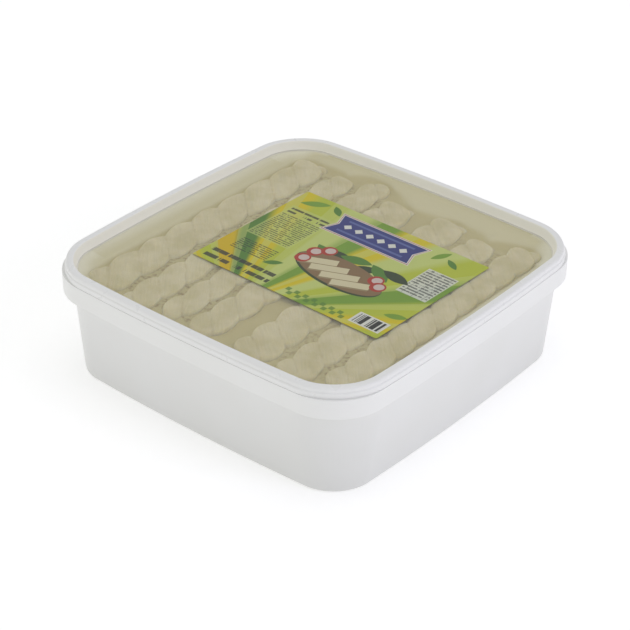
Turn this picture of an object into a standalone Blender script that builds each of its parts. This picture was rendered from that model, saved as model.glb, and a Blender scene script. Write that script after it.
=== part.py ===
"""Square tub of braided cheese in brine, shut under a clear press-on lid.

Metres, +Z up. The origin is the middle of the tub's foot, and the front is -Y.
The braids lie side by side along Y, just under the lid's sunk panel.
"""

import math
from dataclasses import dataclass

import bmesh
import bpy

# Outline of the tub and lid: a rounded square whose four sides bulge a little.
# A half width is taken where the corner arcs begin, and the bow is added to it.
COLLAR_HALF = 0.1262
COLLAR_BOW = 0.0038
COLLAR_RADIUS = 0.0330
RIM_RADIUS = 0.0365        # the lid's corners are rounder than the collar's
WALL_TOP_HALF = 0.1226
WALL_TOP_BOW = 0.0060
WALL_TOP_RADIUS = 0.0380
FOOT_HALF = 0.1160
FOOT_BOW = 0.0037
FOOT_RADIUS = 0.0255
EDGE_HOLD = 8              # how fast the bow dies out round the corners

# Heights.
COLLAR_BOTTOM = 0.0618
COLLAR_TOP = 0.0752
NECK_TOP = 0.0804
LID_SKIRT_BOTTOM = 0.0755
LID_TOP = 0.0820
PANEL_TOP = 0.0764
PANEL_BOTTOM = 0.0752
FLOOR = 0.0020
BRINE_LEVEL = 0.0725

# Walls, edges and fits.
WALL = 0.0016
FOOT_ROUND = 0.0030
COLLAR_ROUND = 0.0006
LID_WALL = 0.0012
SKIRT_INSET = 0.0010       # lid skirt's lip behind the collar's face
LIP_TOP = 0.0792           # the lip runs round the lower part of the skirt
LIP_DEPTH = 0.0006
LID_ROUND = 0.0020         # outer edge of the lid's rim
RIM_SOFTNESS = 0.0005      # inner edge of the lid's rim
NECK_INSET = 0.0029        # neck face behind the collar's face
NECK_WALL = 0.0017
RECESS_INSET = 0.0064      # where the sunk panel's wall starts, at the lid's top
PANEL_INSET = 0.0084       # where that wall meets the panel
FIT_GAP = 0.0003

# Label stuck on the panel.
LABEL_SIZE = (0.1562, 0.1148, 0.0003)
LABEL_CENTRE = (0.0137, 0.0074)
LABEL_TURN = math.radians(-1.0)

# Braids: ropes of three pulled strands, pressed flat-sided by their neighbours.
BRAID_TOP = 0.0747
BRAID_HEIGHT = 0.0250
STRANDS = 3
STRAND_SPREAD = 0.48       # strand centre from the braid's axis, in strand radii
SQUARENESS = 2.6           # exponent of the pressed section, 2 is an ellipse
END_LENGTH = 0.0160
END_SCALE = 0.32
TROUGH_GAP = 0.00035

# Facets.
CORNER_STEPS = 6
SIDE_STEPS = 4
LID_ROUND_STEPS = 3
BRAID_POINTS = 15
BRAID_MIDDLE_RINGS = 20
END_STEPS = (0.0, 0.2, 0.55)
TROUGH_POINTS = 16


@dataclass(frozen=True)
class Ring:
    """One level outline of the tub or the lid."""

    half: float
    radius: float
    bow: float
    z: float


@dataclass(frozen=True)
class Braid:
    """Where one braid lies, how wide it is, and where its strands cross."""

    x_front: float
    x_back: float
    width_front: float
    width_back: float
    y_front: float
    y_back: float
    pitch: float
    lobe_y: float


BRAIDS = (
    Braid(-0.0849, -0.0875, 0.0337, 0.0315, -0.1180, 0.1080, 0.0264, 0.0080),
    Braid(-0.0531, -0.0574, 0.0285, 0.0245, -0.1180, 0.1035, 0.0250, -0.0600),
    Braid(-0.0258, -0.0325, 0.0250, 0.0235, -0.1180, 0.1160, 0.0250, -0.0670),
    Braid(0.0004, -0.0035, 0.0258, 0.0330, -0.1180, 0.0990, 0.0250, -0.0700),
    Braid(0.0417, 0.0378, 0.0335, 0.0315, -0.1180, 0.1030, 0.0230, -0.0770),
    Braid(0.0757, 0.0697, 0.0290, 0.0270, -0.1180, 0.0935, 0.0225, -0.0790),
    Braid(0.1039, 0.0978, 0.0260, 0.0260, -0.1100, 0.1055, 0.0215, -0.0880),
)


def mix(low, high, share):
    """Return the value that lies share of the way from low to high."""
    return low + (high - low) * share


def outline(ring):
    """Return the points of a ring, anticlockwise from its +X side."""
    reach = ring.half - ring.radius
    quarter = []
    for step in range(CORNER_STEPS + 1):
        angle = math.pi / 2 * step / CORNER_STEPS
        quarter.append((reach + ring.radius * math.cos(angle), reach + ring.radius * math.sin(angle)))
    for step in range(1, SIDE_STEPS):
        quarter.append((mix(reach, -reach, step / SIDE_STEPS), ring.half))
    points = []
    for turn in range(4):
        for x, y in quarter:
            for _ in range(turn):
                x, y = -y, x
            points.append((bowed(x, y, ring), bowed(y, x, ring), ring.z))
    return points


def bowed(along, across, ring):
    """Push a coordinate outwards by the bow, most at the middle of its side."""
    share = (1 - (across / ring.half) ** 2) * abs(along / ring.half) ** EDGE_HOLD
    return along + math.copysign(ring.bow * share, along)


def rim_ring(inset, z):
    """Return an outline of the neck or the lid, inset from the collar's face."""
    return Ring(COLLAR_HALF - inset, RIM_RADIUS - inset, COLLAR_BOW, z)


def collar_ring(inset, z):
    """Return an outline of the collar, inset from its face."""
    return Ring(COLLAR_HALF - inset, COLLAR_RADIUS - inset, COLLAR_BOW, z)


def wall_ring(inset, z):
    """Return an outline of the tapered wall, inset from its outer face."""
    share = z / COLLAR_BOTTOM
    return Ring(
        mix(FOOT_HALF, WALL_TOP_HALF, share) - inset,
        mix(FOOT_RADIUS, WALL_TOP_RADIUS, share) - inset,
        mix(FOOT_BOW, WALL_TOP_BOW, share),
        z,
    )


def inside_ring(inset, z):
    """Return an outline of the tub's inner face, above or below the collar's foot."""
    if z <= COLLAR_BOTTOM:
        return wall_ring(WALL + inset, z)
    low = wall_ring(WALL + inset, COLLAR_BOTTOM)
    high = rim_ring(NECK_INSET + NECK_WALL + inset, NECK_TOP)
    share = (z - COLLAR_BOTTOM) / (NECK_TOP - COLLAR_BOTTOM)
    return Ring(mix(low.half, high.half, share), mix(low.radius, high.radius, share),
                mix(low.bow, high.bow, share), z)


def loft(name, loops):
    """Return a closed mesh through loops of equal count, with flat ends."""
    bm = bmesh.new()
    rows = []
    for loop in loops:
        rows.append([bm.verts.new(point) for point in loop])
    for lower, upper in zip(rows, rows[1:]):
        for index in range(len(lower)):
            after = (index + 1) % len(lower)
            bm.faces.new((lower[index], lower[after], upper[after], upper[index]))
    bm.faces.new(list(reversed(rows[0])))
    bm.faces.new(rows[-1])
    bmesh.ops.recalc_face_normals(bm, faces=bm.faces)
    mesh = bpy.data.meshes.new(name)
    bm.to_mesh(mesh)
    bm.free()
    return mesh


def make_material(name, colour, roughness, alpha=1.0):
    """Return a Principled material of one colour."""
    material = bpy.data.materials.new(name)
    material.use_nodes = True
    shader = material.node_tree.nodes["Principled BSDF"]
    shader.inputs["Base Color"].default_value = (*colour, 1.0)
    shader.inputs["Roughness"].default_value = roughness
    shader.inputs["Metallic"].default_value = 0.0
    shader.inputs["Alpha"].default_value = alpha
    return material


def add_part(name, mesh, collection, material):
    """Add a mesh to the model as a named object, smooth but for its sharp edges."""
    mesh.shade_smooth()
    mesh.set_sharp_from_angle(angle=math.radians(35))
    mesh.materials.append(material)
    part = bpy.data.objects.new(name, mesh)
    collection.objects.link(part)
    return part


def tub_mesh():
    """Return the tub: tapered wall, collar, neck under the lid, and inside."""
    foot_bevel = FOOT_ROUND * (1 - math.sqrt(0.5))
    rings = [
        wall_ring(FOOT_ROUND, 0.0),
        wall_ring(foot_bevel, foot_bevel),
        wall_ring(0.0, FOOT_ROUND),
        wall_ring(0.0, COLLAR_BOTTOM / 2),
        wall_ring(0.0, COLLAR_BOTTOM),
        collar_ring(COLLAR_ROUND, COLLAR_BOTTOM),
        collar_ring(0.0, COLLAR_BOTTOM + COLLAR_ROUND),
        collar_ring(0.0, COLLAR_TOP - COLLAR_ROUND),
        collar_ring(COLLAR_ROUND, COLLAR_TOP),
        rim_ring(NECK_INSET, COLLAR_TOP),
        rim_ring(NECK_INSET, NECK_TOP),
        inside_ring(0.0, NECK_TOP),
        inside_ring(0.0, COLLAR_BOTTOM),
        inside_ring(0.0, FLOOR + FOOT_ROUND),
        inside_ring(FOOT_ROUND, FLOOR),
    ]
    return loft("tub", [outline(ring) for ring in rings])


def lid_mesh():
    """Return the lid: skirt, rounded rim, sunk panel, and the underside of each."""
    under_rim = LID_TOP - LID_WALL
    skirt_face = SKIRT_INSET + LIP_DEPTH
    rings = [
        rim_ring(PANEL_INSET, PANEL_TOP),
        rim_ring(RECESS_INSET + RIM_SOFTNESS, LID_TOP - RIM_SOFTNESS),
        rim_ring(RECESS_INSET - RIM_SOFTNESS, LID_TOP),
    ]
    for step in range(LID_ROUND_STEPS + 1):
        angle = math.pi / 2 * step / LID_ROUND_STEPS
        rings.append(rim_ring(skirt_face + LID_ROUND * (1 - math.sin(angle)),
                              LID_TOP - LID_ROUND * (1 - math.cos(angle))))
    rings += [
        rim_ring(skirt_face, LIP_TOP),
        rim_ring(SKIRT_INSET, LIP_TOP - LIP_DEPTH),
        rim_ring(SKIRT_INSET, LID_SKIRT_BOTTOM),
        rim_ring(NECK_INSET - FIT_GAP, LID_SKIRT_BOTTOM),
        rim_ring(NECK_INSET - FIT_GAP, under_rim),
        rim_ring(RECESS_INSET - LID_WALL, under_rim),
        rim_ring(PANEL_INSET - LID_WALL, PANEL_BOTTOM),
    ]
    return loft("lid", [outline(ring) for ring in rings])


def brine_mesh():
    """Return the brine: all of the tub's inside, up to its level."""
    rings = [
        inside_ring(FOOT_ROUND + FIT_GAP, FLOOR + FIT_GAP),
        inside_ring(FIT_GAP, FLOOR + FOOT_ROUND + FIT_GAP),
        inside_ring(FIT_GAP, COLLAR_BOTTOM),
        inside_ring(FIT_GAP, BRINE_LEVEL),
    ]
    return loft("brine", [outline(ring) for ring in rings])


def strand_reach(angle):
    """Return a three-strand rope's radius at an angle from a strand, 1 at most."""
    sector = 2 * math.pi / STRANDS
    offset = (angle + sector / 2) % sector - sector / 2
    spread = STRAND_SPREAD
    return (spread * math.cos(offset) + math.sqrt(1 - (spread * math.sin(offset)) ** 2)) / (1 + spread)


def pressed(angle):
    """Return the radius of the pressed section at an angle, 1 on its axes."""
    power = SQUARENESS
    return (abs(math.cos(angle)) ** power + abs(math.sin(angle)) ** power) ** (-1 / power)


def braid_stations(braid):
    """Return the braid's ring places along Y and how far each end narrows them."""
    ends = [END_LENGTH * step for step in END_STEPS]
    length = braid.y_back - braid.y_front
    middle = []
    for step in range(BRAID_MIDDLE_RINGS):
        middle.append(mix(END_LENGTH, length - END_LENGTH, step / (BRAID_MIDDLE_RINGS - 1)))
    places = ends + middle + [length - end for end in reversed(ends)]
    stations = []
    for place in places:
        near = min(place, length - place, END_LENGTH)
        bulge = math.sqrt(1 - (1 - near / END_LENGTH) ** 2)
        stations.append((braid.y_front + place, mix(END_SCALE, 1.0, bulge)))
    return stations


def braid_section(braid, y, scale):
    """Return the braid's centre in X and its half width and half height at y."""
    share = (y - braid.y_front) / (braid.y_back - braid.y_front)
    centre = mix(braid.x_front, braid.x_back, share)
    half_width = mix(braid.width_front, braid.width_back, share) / 2
    return centre, half_width * scale, BRAID_HEIGHT / 2 * scale


def braid_mesh(braid):
    """Return one braid, each strand a bulge that winds from end to end."""
    loops = []
    for y, scale in braid_stations(braid):
        centre, half_width, half_height = braid_section(braid, y, scale)
        twist = math.pi + 2 * math.pi * (y - braid.lobe_y) / (braid.pitch * STRANDS)
        loop = []
        for index in range(BRAID_POINTS):
            angle = twist + 2 * math.pi * (index + 0.5) / BRAID_POINTS
            reach = strand_reach(angle - twist) * pressed(angle)
            loop.append((centre + half_width * reach * math.cos(angle), y,
                         BRAID_TOP - BRAID_HEIGHT / 2 + half_height * reach * math.sin(angle)))
        loops.append(loop)
    return loft("braid", loops)


def trough_mesh(braid):
    """Return the cutter that clears one braid out of the brine."""
    stations = braid_stations(braid)
    tapered = len(END_STEPS) + 1
    stations = stations[:tapered] + stations[-tapered:]
    outside = 1 / math.cos(math.pi / TROUGH_POINTS)
    loops = []
    for number, (y, scale) in enumerate(stations):
        centre, half_width, half_height = braid_section(braid, y, scale)
        if number == 0:
            y -= 2 * TROUGH_GAP
        if number == len(stations) - 1:
            y += 2 * TROUGH_GAP
        loop = []
        for index in range(TROUGH_POINTS):
            angle = 2 * math.pi * (index + 0.5) / TROUGH_POINTS
            reach = pressed(angle) * outside
            loop.append((centre + (half_width * reach + TROUGH_GAP) * math.cos(angle), y,
                         BRAID_TOP - BRAID_HEIGHT / 2
                         + (half_height * reach + TROUGH_GAP) * math.sin(angle)))
        loops.append(loop)
    return loft("trough", loops)


def add_label(collection, material):
    """Add the label as a thin slab, turned a little on the panel."""
    width, depth, thickness = LABEL_SIZE
    place = (*LABEL_CENTRE, PANEL_TOP + FIT_GAP + thickness / 2)
    bpy.ops.mesh.primitive_cube_add(size=1.0, location=place, rotation=(0.0, 0.0, LABEL_TURN))
    label = bpy.context.object
    label.name = "label"
    label.scale = (width, depth, thickness)
    bpy.ops.object.transform_apply(location=False, rotation=False, scale=True)
    label.data.materials.append(material)
    for owner in label.users_collection:
        owner.objects.unlink(label)
    collection.objects.link(label)


def cut_troughs(brine, cutters):
    """Cut the brine round every braid."""
    for number, braid in enumerate(BRAIDS, start=1):
        trough = bpy.data.objects.new(f"trough_{number}", trough_mesh(braid))
        trough.hide_render = True
        trough.display_type = "WIRE"
        cutters.objects.link(trough)
        cut = brine.modifiers.new(f"round_braid_{number}", "BOOLEAN")
        cut.operation = "DIFFERENCE"
        cut.solver = "EXACT"
        cut.object = trough


def main():
    """Build every part of the shut tub."""
    for old in list(bpy.data.objects):
        bpy.data.objects.remove(old, do_unlink=True)
    model = bpy.data.collections.new("braided_cheese_tub")
    cutters = bpy.data.collections.new("cutters")
    for collection in (model, cutters):
        bpy.context.scene.collection.children.link(collection)

    white = make_material("white_polypropylene", (0.80, 0.80, 0.78), 0.35)
    clear = make_material("clear_polypropylene", (0.85, 0.85, 0.80), 0.15, alpha=0.35)
    cheese = make_material("pulled_curd_cheese", (0.60, 0.54, 0.36), 0.45)
    liquid = make_material("cloudy_brine", (0.46, 0.42, 0.24), 0.15)
    print_film = make_material("label_film", (0.60, 0.68, 0.10), 0.30)

    add_part("tub", tub_mesh(), model, white)
    add_part("lid", lid_mesh(), model, clear)
    add_label(model, print_film)
    for number, braid in enumerate(BRAIDS, start=1):
        add_part(f"braid_{number}", braid_mesh(braid), model, cheese)
    brine = add_part("brine", brine_mesh(), model, liquid)
    cut_troughs(brine, cutters)


main()
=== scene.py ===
"""Shut square tub of braided string cheese in cloudy brine.

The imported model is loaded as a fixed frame. Each of its parts is then replaced by
a finished piece that takes its place and its outer size from that part.
Lengths are metres, and +Z is up.
"""

import logging
import math
from dataclasses import dataclass, replace
from enum import Enum
from functools import cache

import bmesh
import bpy
from mathutils import Matrix, Vector, noise


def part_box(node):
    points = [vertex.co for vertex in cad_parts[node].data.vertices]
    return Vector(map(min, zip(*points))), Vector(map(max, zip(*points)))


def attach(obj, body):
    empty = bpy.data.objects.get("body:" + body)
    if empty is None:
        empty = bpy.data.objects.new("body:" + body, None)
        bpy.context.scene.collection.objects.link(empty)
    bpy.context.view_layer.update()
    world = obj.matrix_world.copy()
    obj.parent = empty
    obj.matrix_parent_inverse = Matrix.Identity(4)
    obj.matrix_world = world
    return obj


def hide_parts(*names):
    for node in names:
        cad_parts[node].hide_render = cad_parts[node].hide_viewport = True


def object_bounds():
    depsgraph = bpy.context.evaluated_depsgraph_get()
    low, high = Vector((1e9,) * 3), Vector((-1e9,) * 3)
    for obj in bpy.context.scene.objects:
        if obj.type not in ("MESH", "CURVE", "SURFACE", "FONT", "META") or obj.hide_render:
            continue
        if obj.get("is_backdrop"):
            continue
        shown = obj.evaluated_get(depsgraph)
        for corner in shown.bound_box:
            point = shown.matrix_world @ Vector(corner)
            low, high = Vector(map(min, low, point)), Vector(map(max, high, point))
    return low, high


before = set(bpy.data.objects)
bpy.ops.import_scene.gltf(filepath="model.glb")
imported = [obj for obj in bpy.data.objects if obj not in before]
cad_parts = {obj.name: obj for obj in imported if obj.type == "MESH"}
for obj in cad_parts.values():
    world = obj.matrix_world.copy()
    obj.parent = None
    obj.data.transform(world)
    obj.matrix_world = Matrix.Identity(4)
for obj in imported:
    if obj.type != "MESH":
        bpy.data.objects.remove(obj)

log = logging.getLogger("cheese_tub")

MM = 0.001

Colour = tuple[float, float, float, float]
Point = tuple[float, float, float]

NOISE_LOW, NOISE_HIGH = 0.3, 0.7  # a noise texture's values mostly lie between these


# ---------------------------------------------------------------- small tools


@cache
def node_box(node: str) -> tuple[Vector, Vector]:
    """Return the lowest and highest corner of a CAD node, measured once."""
    low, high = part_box(node)
    return Vector(low), Vector(high)


def mix(low: float, high: float, share: float) -> float:
    """Return the value that lies share of the way from low to high."""
    return low + (high - low) * share


def smooth_step(low: float, high: float, value: float) -> float:
    """Return 0 below low, 1 above high, and an eased value between them."""
    share = min(max((value - low) / (high - low), 0.0), 1.0)
    return share * share * (3 - 2 * share)


def linear(hex_colour: str) -> Colour:
    """Turn an sRGB hex colour into a linear colour.

    Args:
        hex_colour: a colour such as "#C8B89A".

    Returns:
        Red, green, blue and an alpha of 1.
    """
    channels = []
    for start in (1, 3, 5):
        value = int(hex_colour[start:start + 2], 16) / 255
        channels.append(value / 12.92 if value <= 0.04045 else ((value + 0.055) / 1.055) ** 2.4)
    return (*channels, 1.0)


def add_node(tree: bpy.types.NodeTree, kind: str, settings: dict | None = None,
             inputs: dict | None = None) -> bpy.types.Node:
    """Add a node with its settings, values and links.

    Args:
        tree: the node tree that takes the node.
        kind: the node's type name.
        settings: properties of the node, by name.
        inputs: a value or an output socket for each input, by name or number.

    Returns:
        The new node.
    """
    node = tree.nodes.new(kind)
    for name, value in (settings or {}).items():
        setattr(node, name, value)
    for name, value in (inputs or {}).items():
        if isinstance(value, bpy.types.NodeSocket):
            tree.links.new(value, node.inputs[name])
        else:
            node.inputs[name].default_value = value
    return node


def new_material(name: str) -> tuple[bpy.types.Material, bpy.types.NodeTree, bpy.types.Node]:
    """Make a material that has a Principled shader.

    Args:
        name: what the real material is and how its surface was made.

    Returns:
        The material, its node tree and its shader.
    """
    material = bpy.data.materials.new(name)
    material.use_nodes = True
    tree = material.node_tree
    return material, tree, tree.nodes["Principled BSDF"]


def deselect_all() -> None:
    """Leave object mode and deselect every object."""
    if bpy.context.object and bpy.context.object.mode != "OBJECT":
        bpy.ops.object.mode_set(mode="OBJECT")
    bpy.ops.object.select_all(action="DESELECT")


# -------------------------------------------------------------------- outline


@dataclass(frozen=True)
class Outline:
    """A level outline: a rounded square whose four sides bulge a little."""

    half: float    # from the middle to a side, without the bulge
    radius: float  # of the corners
    bow: float     # how far a side bulges at its middle
    z: float

    CORNER_STEPS = 16
    SIDE_STEPS = 24
    STATIONS = 4 * (CORNER_STEPS + SIDE_STEPS)
    EDGE_HOLD = 8  # how fast the bulge dies out round the corners

    def point(self, station: int) -> Point:
        """Return the outline's point at a station, anticlockwise from +X.

        Args:
            station: 0 to STATIONS - 1.

        Returns:
            The point, at the outline's height.
        """
        quarter, step = divmod(station, self.CORNER_STEPS + self.SIDE_STEPS)
        reach = self.half - self.radius
        if step <= self.CORNER_STEPS:
            angle = math.pi / 2 * step / self.CORNER_STEPS
            x, y = reach + self.radius * math.cos(angle), reach + self.radius * math.sin(angle)
        else:
            x, y = mix(reach, -reach, (step - self.CORNER_STEPS) / self.SIDE_STEPS), self.half
        for _ in range(quarter):
            x, y = -y, x
        return self.bowed(x, y), self.bowed(y, x), self.z

    def bowed(self, along: float, across: float) -> float:
        """Push a coordinate outwards by the bow, most at its side's middle."""
        share = (1 - (across / self.half) ** 2) * abs(along / self.half) ** self.EDGE_HOLD
        return along + math.copysign(self.bow * share, along)

    def inset(self, distance: float, z: float | None = None) -> "Outline":
        """Return this outline moved in by a distance, at a height of its own."""
        return replace(self, half=self.half - distance, radius=self.radius - distance,
                       z=self.z if z is None else z)

    def towards(self, other: "Outline", share: float) -> "Outline":
        """Return the outline that lies share of the way to another."""
        return Outline(mix(self.half, other.half, share), mix(self.radius, other.radius, share),
                       mix(self.bow, other.bow, share), mix(self.z, other.z, share))

    def gap(self, other: "Outline") -> float:
        """Return the length of wall between this outline and another."""
        return math.hypot(self.half - other.half, self.z - other.z)


def rounded_profile(corners: list[tuple[Outline, float]], steps: int = 5,
                    hold: float = 0.25 * MM) -> list[Outline]:
    """Round the corners of a wall's profile.

    Each rounding is held by a further outline just outside it, so that smooth
    shading stays flat on the walls between the roundings.

    Args:
        corners: the profile's outlines in order, each with its rounding radius.
        steps: stretches along each rounding.
        hold: how far outside its rounding the further outline lies.

    Returns:
        Every outline of the finished profile.
    """
    profile = [corners[0][0]]
    for before, (corner, radius), after in zip(corners, corners[1:], corners[2:]):
        if radius <= 0:
            profile.append(corner)
            continue
        back = corner.towards(before[0], radius / corner.gap(before[0]))
        onward = corner.towards(after[0], radius / corner.gap(after[0]))
        if profile[-1].gap(back) > 2 * hold:
            profile.append(back.towards(before[0], hold / back.gap(before[0])))
        for step in range(steps + 1):
            share = step / steps
            profile.append(back.towards(corner, share).towards(corner.towards(onward, share), share))
        if onward.gap(after[0]) > 2 * hold:
            profile.append(onward.towards(after[0], hold / onward.gap(after[0])))
    profile.append(corners[-1][0])
    return profile


def extrude_shell(name: str, profile: list[Outline]) -> bpy.types.Object:
    """Draw a shell as one ring, extruded from outline to outline and capped at both ends.

    Args:
        name: the new object's name.
        profile: the outlines in order.

    Returns:
        A closed mesh object at the origin, with "ring" and "station" attributes.
    """
    deselect_all()
    bpy.ops.mesh.primitive_circle_add(vertices=Outline.STATIONS, radius=profile[0].half,
                                      fill_type="NOTHING")
    shell = bpy.context.object
    shell.name = name
    bpy.ops.object.mode_set(mode="EDIT")
    mesh = bmesh.from_edit_mesh(shell.data)
    mesh.verts.layers.int.new("station")
    mesh.verts.layers.int.new("ring")
    station = mesh.verts.layers.int["station"]
    for number, vert in enumerate(mesh.verts):
        vert[station] = number
    for number, outline in enumerate(profile):
        if number:
            bpy.ops.mesh.extrude_region_move()
        mesh = bmesh.from_edit_mesh(shell.data)
        station, ring = mesh.verts.layers.int["station"], mesh.verts.layers.int["ring"]
        for vert in mesh.verts:
            if vert.select:
                vert.co = outline.point(vert[station])
                vert[ring] = number
        bmesh.update_edit_mesh(shell.data)
    for end in (0, len(profile) - 1):
        bpy.ops.mesh.select_all(action="DESELECT")
        mesh = bmesh.from_edit_mesh(shell.data)
        ring = mesh.verts.layers.int["ring"]
        for edge in mesh.edges:
            if all(vert[ring] == end for vert in edge.verts):
                edge.select = True
        bmesh.update_edit_mesh(shell.data)
        bpy.ops.mesh.edge_face_add()
    bpy.ops.mesh.select_all(action="SELECT")
    bpy.ops.mesh.normals_make_consistent(inside=False)
    bpy.ops.object.mode_set(mode="OBJECT")
    return shell


def finish_piece(piece: bpy.types.Object, slot: str, *nodes: str, angle: float = 40.0) -> None:
    """Shade a piece smooth, let it ride, and hide the CAD nodes that it stands in for.

    Args:
        piece: the finished object.
        slot: a name for the piece's material, which is only logged.
        nodes: the CAD nodes that the piece replaces.
        angle: edges sharper than this many degrees stay sharp.
    """
    deselect_all()
    piece.select_set(True)
    bpy.context.view_layer.objects.active = piece
    bpy.ops.object.shade_smooth_by_angle(angle=math.radians(angle))
    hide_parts(*nodes)
    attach(piece, "root")
    log.info("%s: %d faces, %s", piece.name, len(piece.data.polygons), slot)


# ------------------------------------------------------------------- finishes


@dataclass(frozen=True)
class MouldedPolypropylene:
    """White polypropylene, injection moulded: satin, faintly mottled, a little translucent."""

    wall_top: float          # height at which the double collar starts
    name: str = "moulded_white_polypropylene"
    thick: str = "#E5E5E4"   # where the wall lets least through
    thin: str = "#E0E0DC"    # where it lets the contents' warmth through
    # painted light: the collar is drawn brighter than the wall below it
    collar_painted_light: float = 1.08
    foot_painted_shade: float = 0.90  # painted shade: the wall is drawn darker towards its foot
    collar_light_edge: float = 0.3 * MM  # half the height in which the collar's painted light sets in
    roughness: tuple[float, float] = (0.30, 0.40)
    ior: float = 1.49
    mottle: float = 55 * MM  # width of the mottling's patches
    grain: float = 1.6 * MM  # the mould's own grain is finer and wouldn't show
    grain_rise: float = 0.05 * MM
    grain_strength: float = 0.10

    def material(self) -> bpy.types.Material:
        """Make the material.

        Returns:
            The material, ready to be put on a piece.
        """
        material, tree, shader = new_material(self.name)
        place = add_node(tree, "ShaderNodeTexCoord")
        mottle = add_node(tree, "ShaderNodeTexNoise", None, {
            "Vector": place.outputs["Object"], "Scale": 1 / self.mottle, "Detail": 2.0})
        tone = add_node(tree, "ShaderNodeMix", {"data_type": "RGBA"}, {
            0: mottle.outputs["Fac"], 6: linear(self.thick), 7: linear(self.thin)})
        height = add_node(tree, "ShaderNodeSeparateXYZ", None, {0: place.outputs["Object"]})
        # painted shade darkens the wall towards its foot, and painted light brightens the collar
        level = add_node(tree, "ShaderNodeMapRange", None, {
            "Value": height.outputs["Z"], "From Min": 0.0, "From Max": self.wall_top,
            "To Min": self.foot_painted_shade, "To Max": 1.0})
        collar = add_node(tree, "ShaderNodeMapRange", None, {
            "Value": height.outputs["Z"], "From Min": self.wall_top - self.collar_light_edge,
            "From Max": self.wall_top + self.collar_light_edge, "To Min": 1.0, "To Max": self.collar_painted_light})
        painted_light_factor = add_node(tree, "ShaderNodeMath", {"operation": "MULTIPLY"}, {
            0: level.outputs["Result"], 1: collar.outputs["Result"]})
        shaded = add_node(tree, "ShaderNodeVectorMath", {"operation": "SCALE"}, {
            0: tone.outputs[2], "Scale": painted_light_factor.outputs[0]})
        shine = add_node(tree, "ShaderNodeMapRange", None, {
            "Value": mottle.outputs["Fac"], "From Min": NOISE_LOW, "From Max": NOISE_HIGH,
            "To Min": self.roughness[0], "To Max": self.roughness[1]})
        grain = add_node(tree, "ShaderNodeTexNoise", None, {
            "Vector": place.outputs["Object"], "Scale": 1 / self.grain, "Detail": 3.0})
        bump = add_node(tree, "ShaderNodeBump", None, {
            "Height": grain.outputs["Fac"], "Strength": self.grain_strength, "Distance": self.grain_rise})
        tree.links.new(shaded.outputs["Vector"], shader.inputs["Base Color"])
        tree.links.new(shine.outputs["Result"], shader.inputs["Roughness"])
        tree.links.new(bump.outputs["Normal"], shader.inputs["Normal"])
        shader.inputs["IOR"].default_value = self.ior
        return material


@dataclass(frozen=True)
class WettedPolypropylene:
    """The tub's inner face: white at the lid, lost in cloudy brine lower down."""

    dry_z: float             # height from which the wall is white
    lost_z: float            # height below which only brine shows
    name: str = "wetted_white_polypropylene"
    white: str = "#F0EEDF"
    brine: str = "#DCD5B2"
    roughness: float = 0.5
    ior: float = 1.49
    cloud: float = 18 * MM   # width of the brine's clouds
    drift: float = 2 * MM    # how much they raise the fade

    def material(self) -> bpy.types.Material:
        """Make the material.

        Returns:
            The material, ready to be put on a piece.
        """
        material, tree, shader = new_material(self.name)
        place = add_node(tree, "ShaderNodeTexCoord")
        height = add_node(tree, "ShaderNodeSeparateXYZ", None, {0: place.outputs["Object"]})
        cloud = add_node(tree, "ShaderNodeTexNoise", None, {
            "Vector": place.outputs["Object"], "Scale": 1 / self.cloud, "Detail": 3.0})
        drift = add_node(tree, "ShaderNodeMath", {"operation": "MULTIPLY_ADD"}, {
            0: cloud.outputs["Fac"], 1: self.drift, 2: height.outputs["Z"]})
        depth = add_node(tree, "ShaderNodeMapRange", {"interpolation_type": "SMOOTHSTEP"}, {
            "Value": drift.outputs[0], "From Min": self.lost_z + self.drift / 2,
            "From Max": self.dry_z + self.drift / 2})
        tone = add_node(tree, "ShaderNodeMix", {"data_type": "RGBA"}, {
            0: depth.outputs["Result"], 6: linear(self.brine), 7: linear(self.white)})
        tree.links.new(tone.outputs[2], shader.inputs["Base Color"])
        shader.inputs["Roughness"].default_value = self.roughness
        shader.inputs["IOR"].default_value = self.ior
        return material


@dataclass(frozen=True)
class ClearPolypropylene:
    """Clear polypropylene, injection moulded: see-through but milky, more so where thick."""

    name: str
    tint: str
    milkiness: float         # share of light that each face keeps back
    roughness: float
    gloss: float = 0.5       # specular level, 0 where the face scatters and looks dull
    glow: float = 0.0        # painted glow: the plastic gives off light of its own tint
    ior: float = 1.49
    flow: float = 9 * MM     # width of the flow marks that spread from the gate
    flow_pull: float = 0.6   # how much the flow has drawn them out
    flow_rise: float = 0.10 * MM
    flow_strength: float = 0.06
    patchiness: tuple[float, float] = (0.85, 1.2)  # of the roughness, in the flow marks

    def material(self) -> bpy.types.Material:
        """Make the material.

        Returns:
            The material, ready to be put on a piece.
        """
        material, tree, shader = new_material(self.name)
        place = add_node(tree, "ShaderNodeTexCoord")
        flow = add_node(tree, "ShaderNodeTexNoise", None, {
            "Vector": place.outputs["Object"], "Scale": 1 / self.flow, "Detail": 3.0,
            "Distortion": self.flow_pull})
        shine = add_node(tree, "ShaderNodeMapRange", None, {
            "Value": flow.outputs["Fac"], "From Min": NOISE_LOW, "From Max": NOISE_HIGH,
            "To Min": self.roughness * self.patchiness[0],
            "To Max": self.roughness * self.patchiness[1]})
        bump = add_node(tree, "ShaderNodeBump", None, {
            "Height": flow.outputs["Fac"], "Strength": self.flow_strength, "Distance": self.flow_rise})
        tree.links.new(shine.outputs["Result"], shader.inputs["Roughness"])
        tree.links.new(bump.outputs["Normal"], shader.inputs["Normal"])
        shader.inputs["Base Color"].default_value = linear(self.tint)
        shader.inputs["Alpha"].default_value = self.milkiness
        shader.inputs["Specular IOR Level"].default_value = self.gloss
        shader.inputs["IOR"].default_value = self.ior
        # painted glow in the tint's colour
        shader.inputs["Emission Color"].default_value = linear(self.tint)
        shader.inputs["Emission Strength"].default_value = self.glow
        return material


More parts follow.
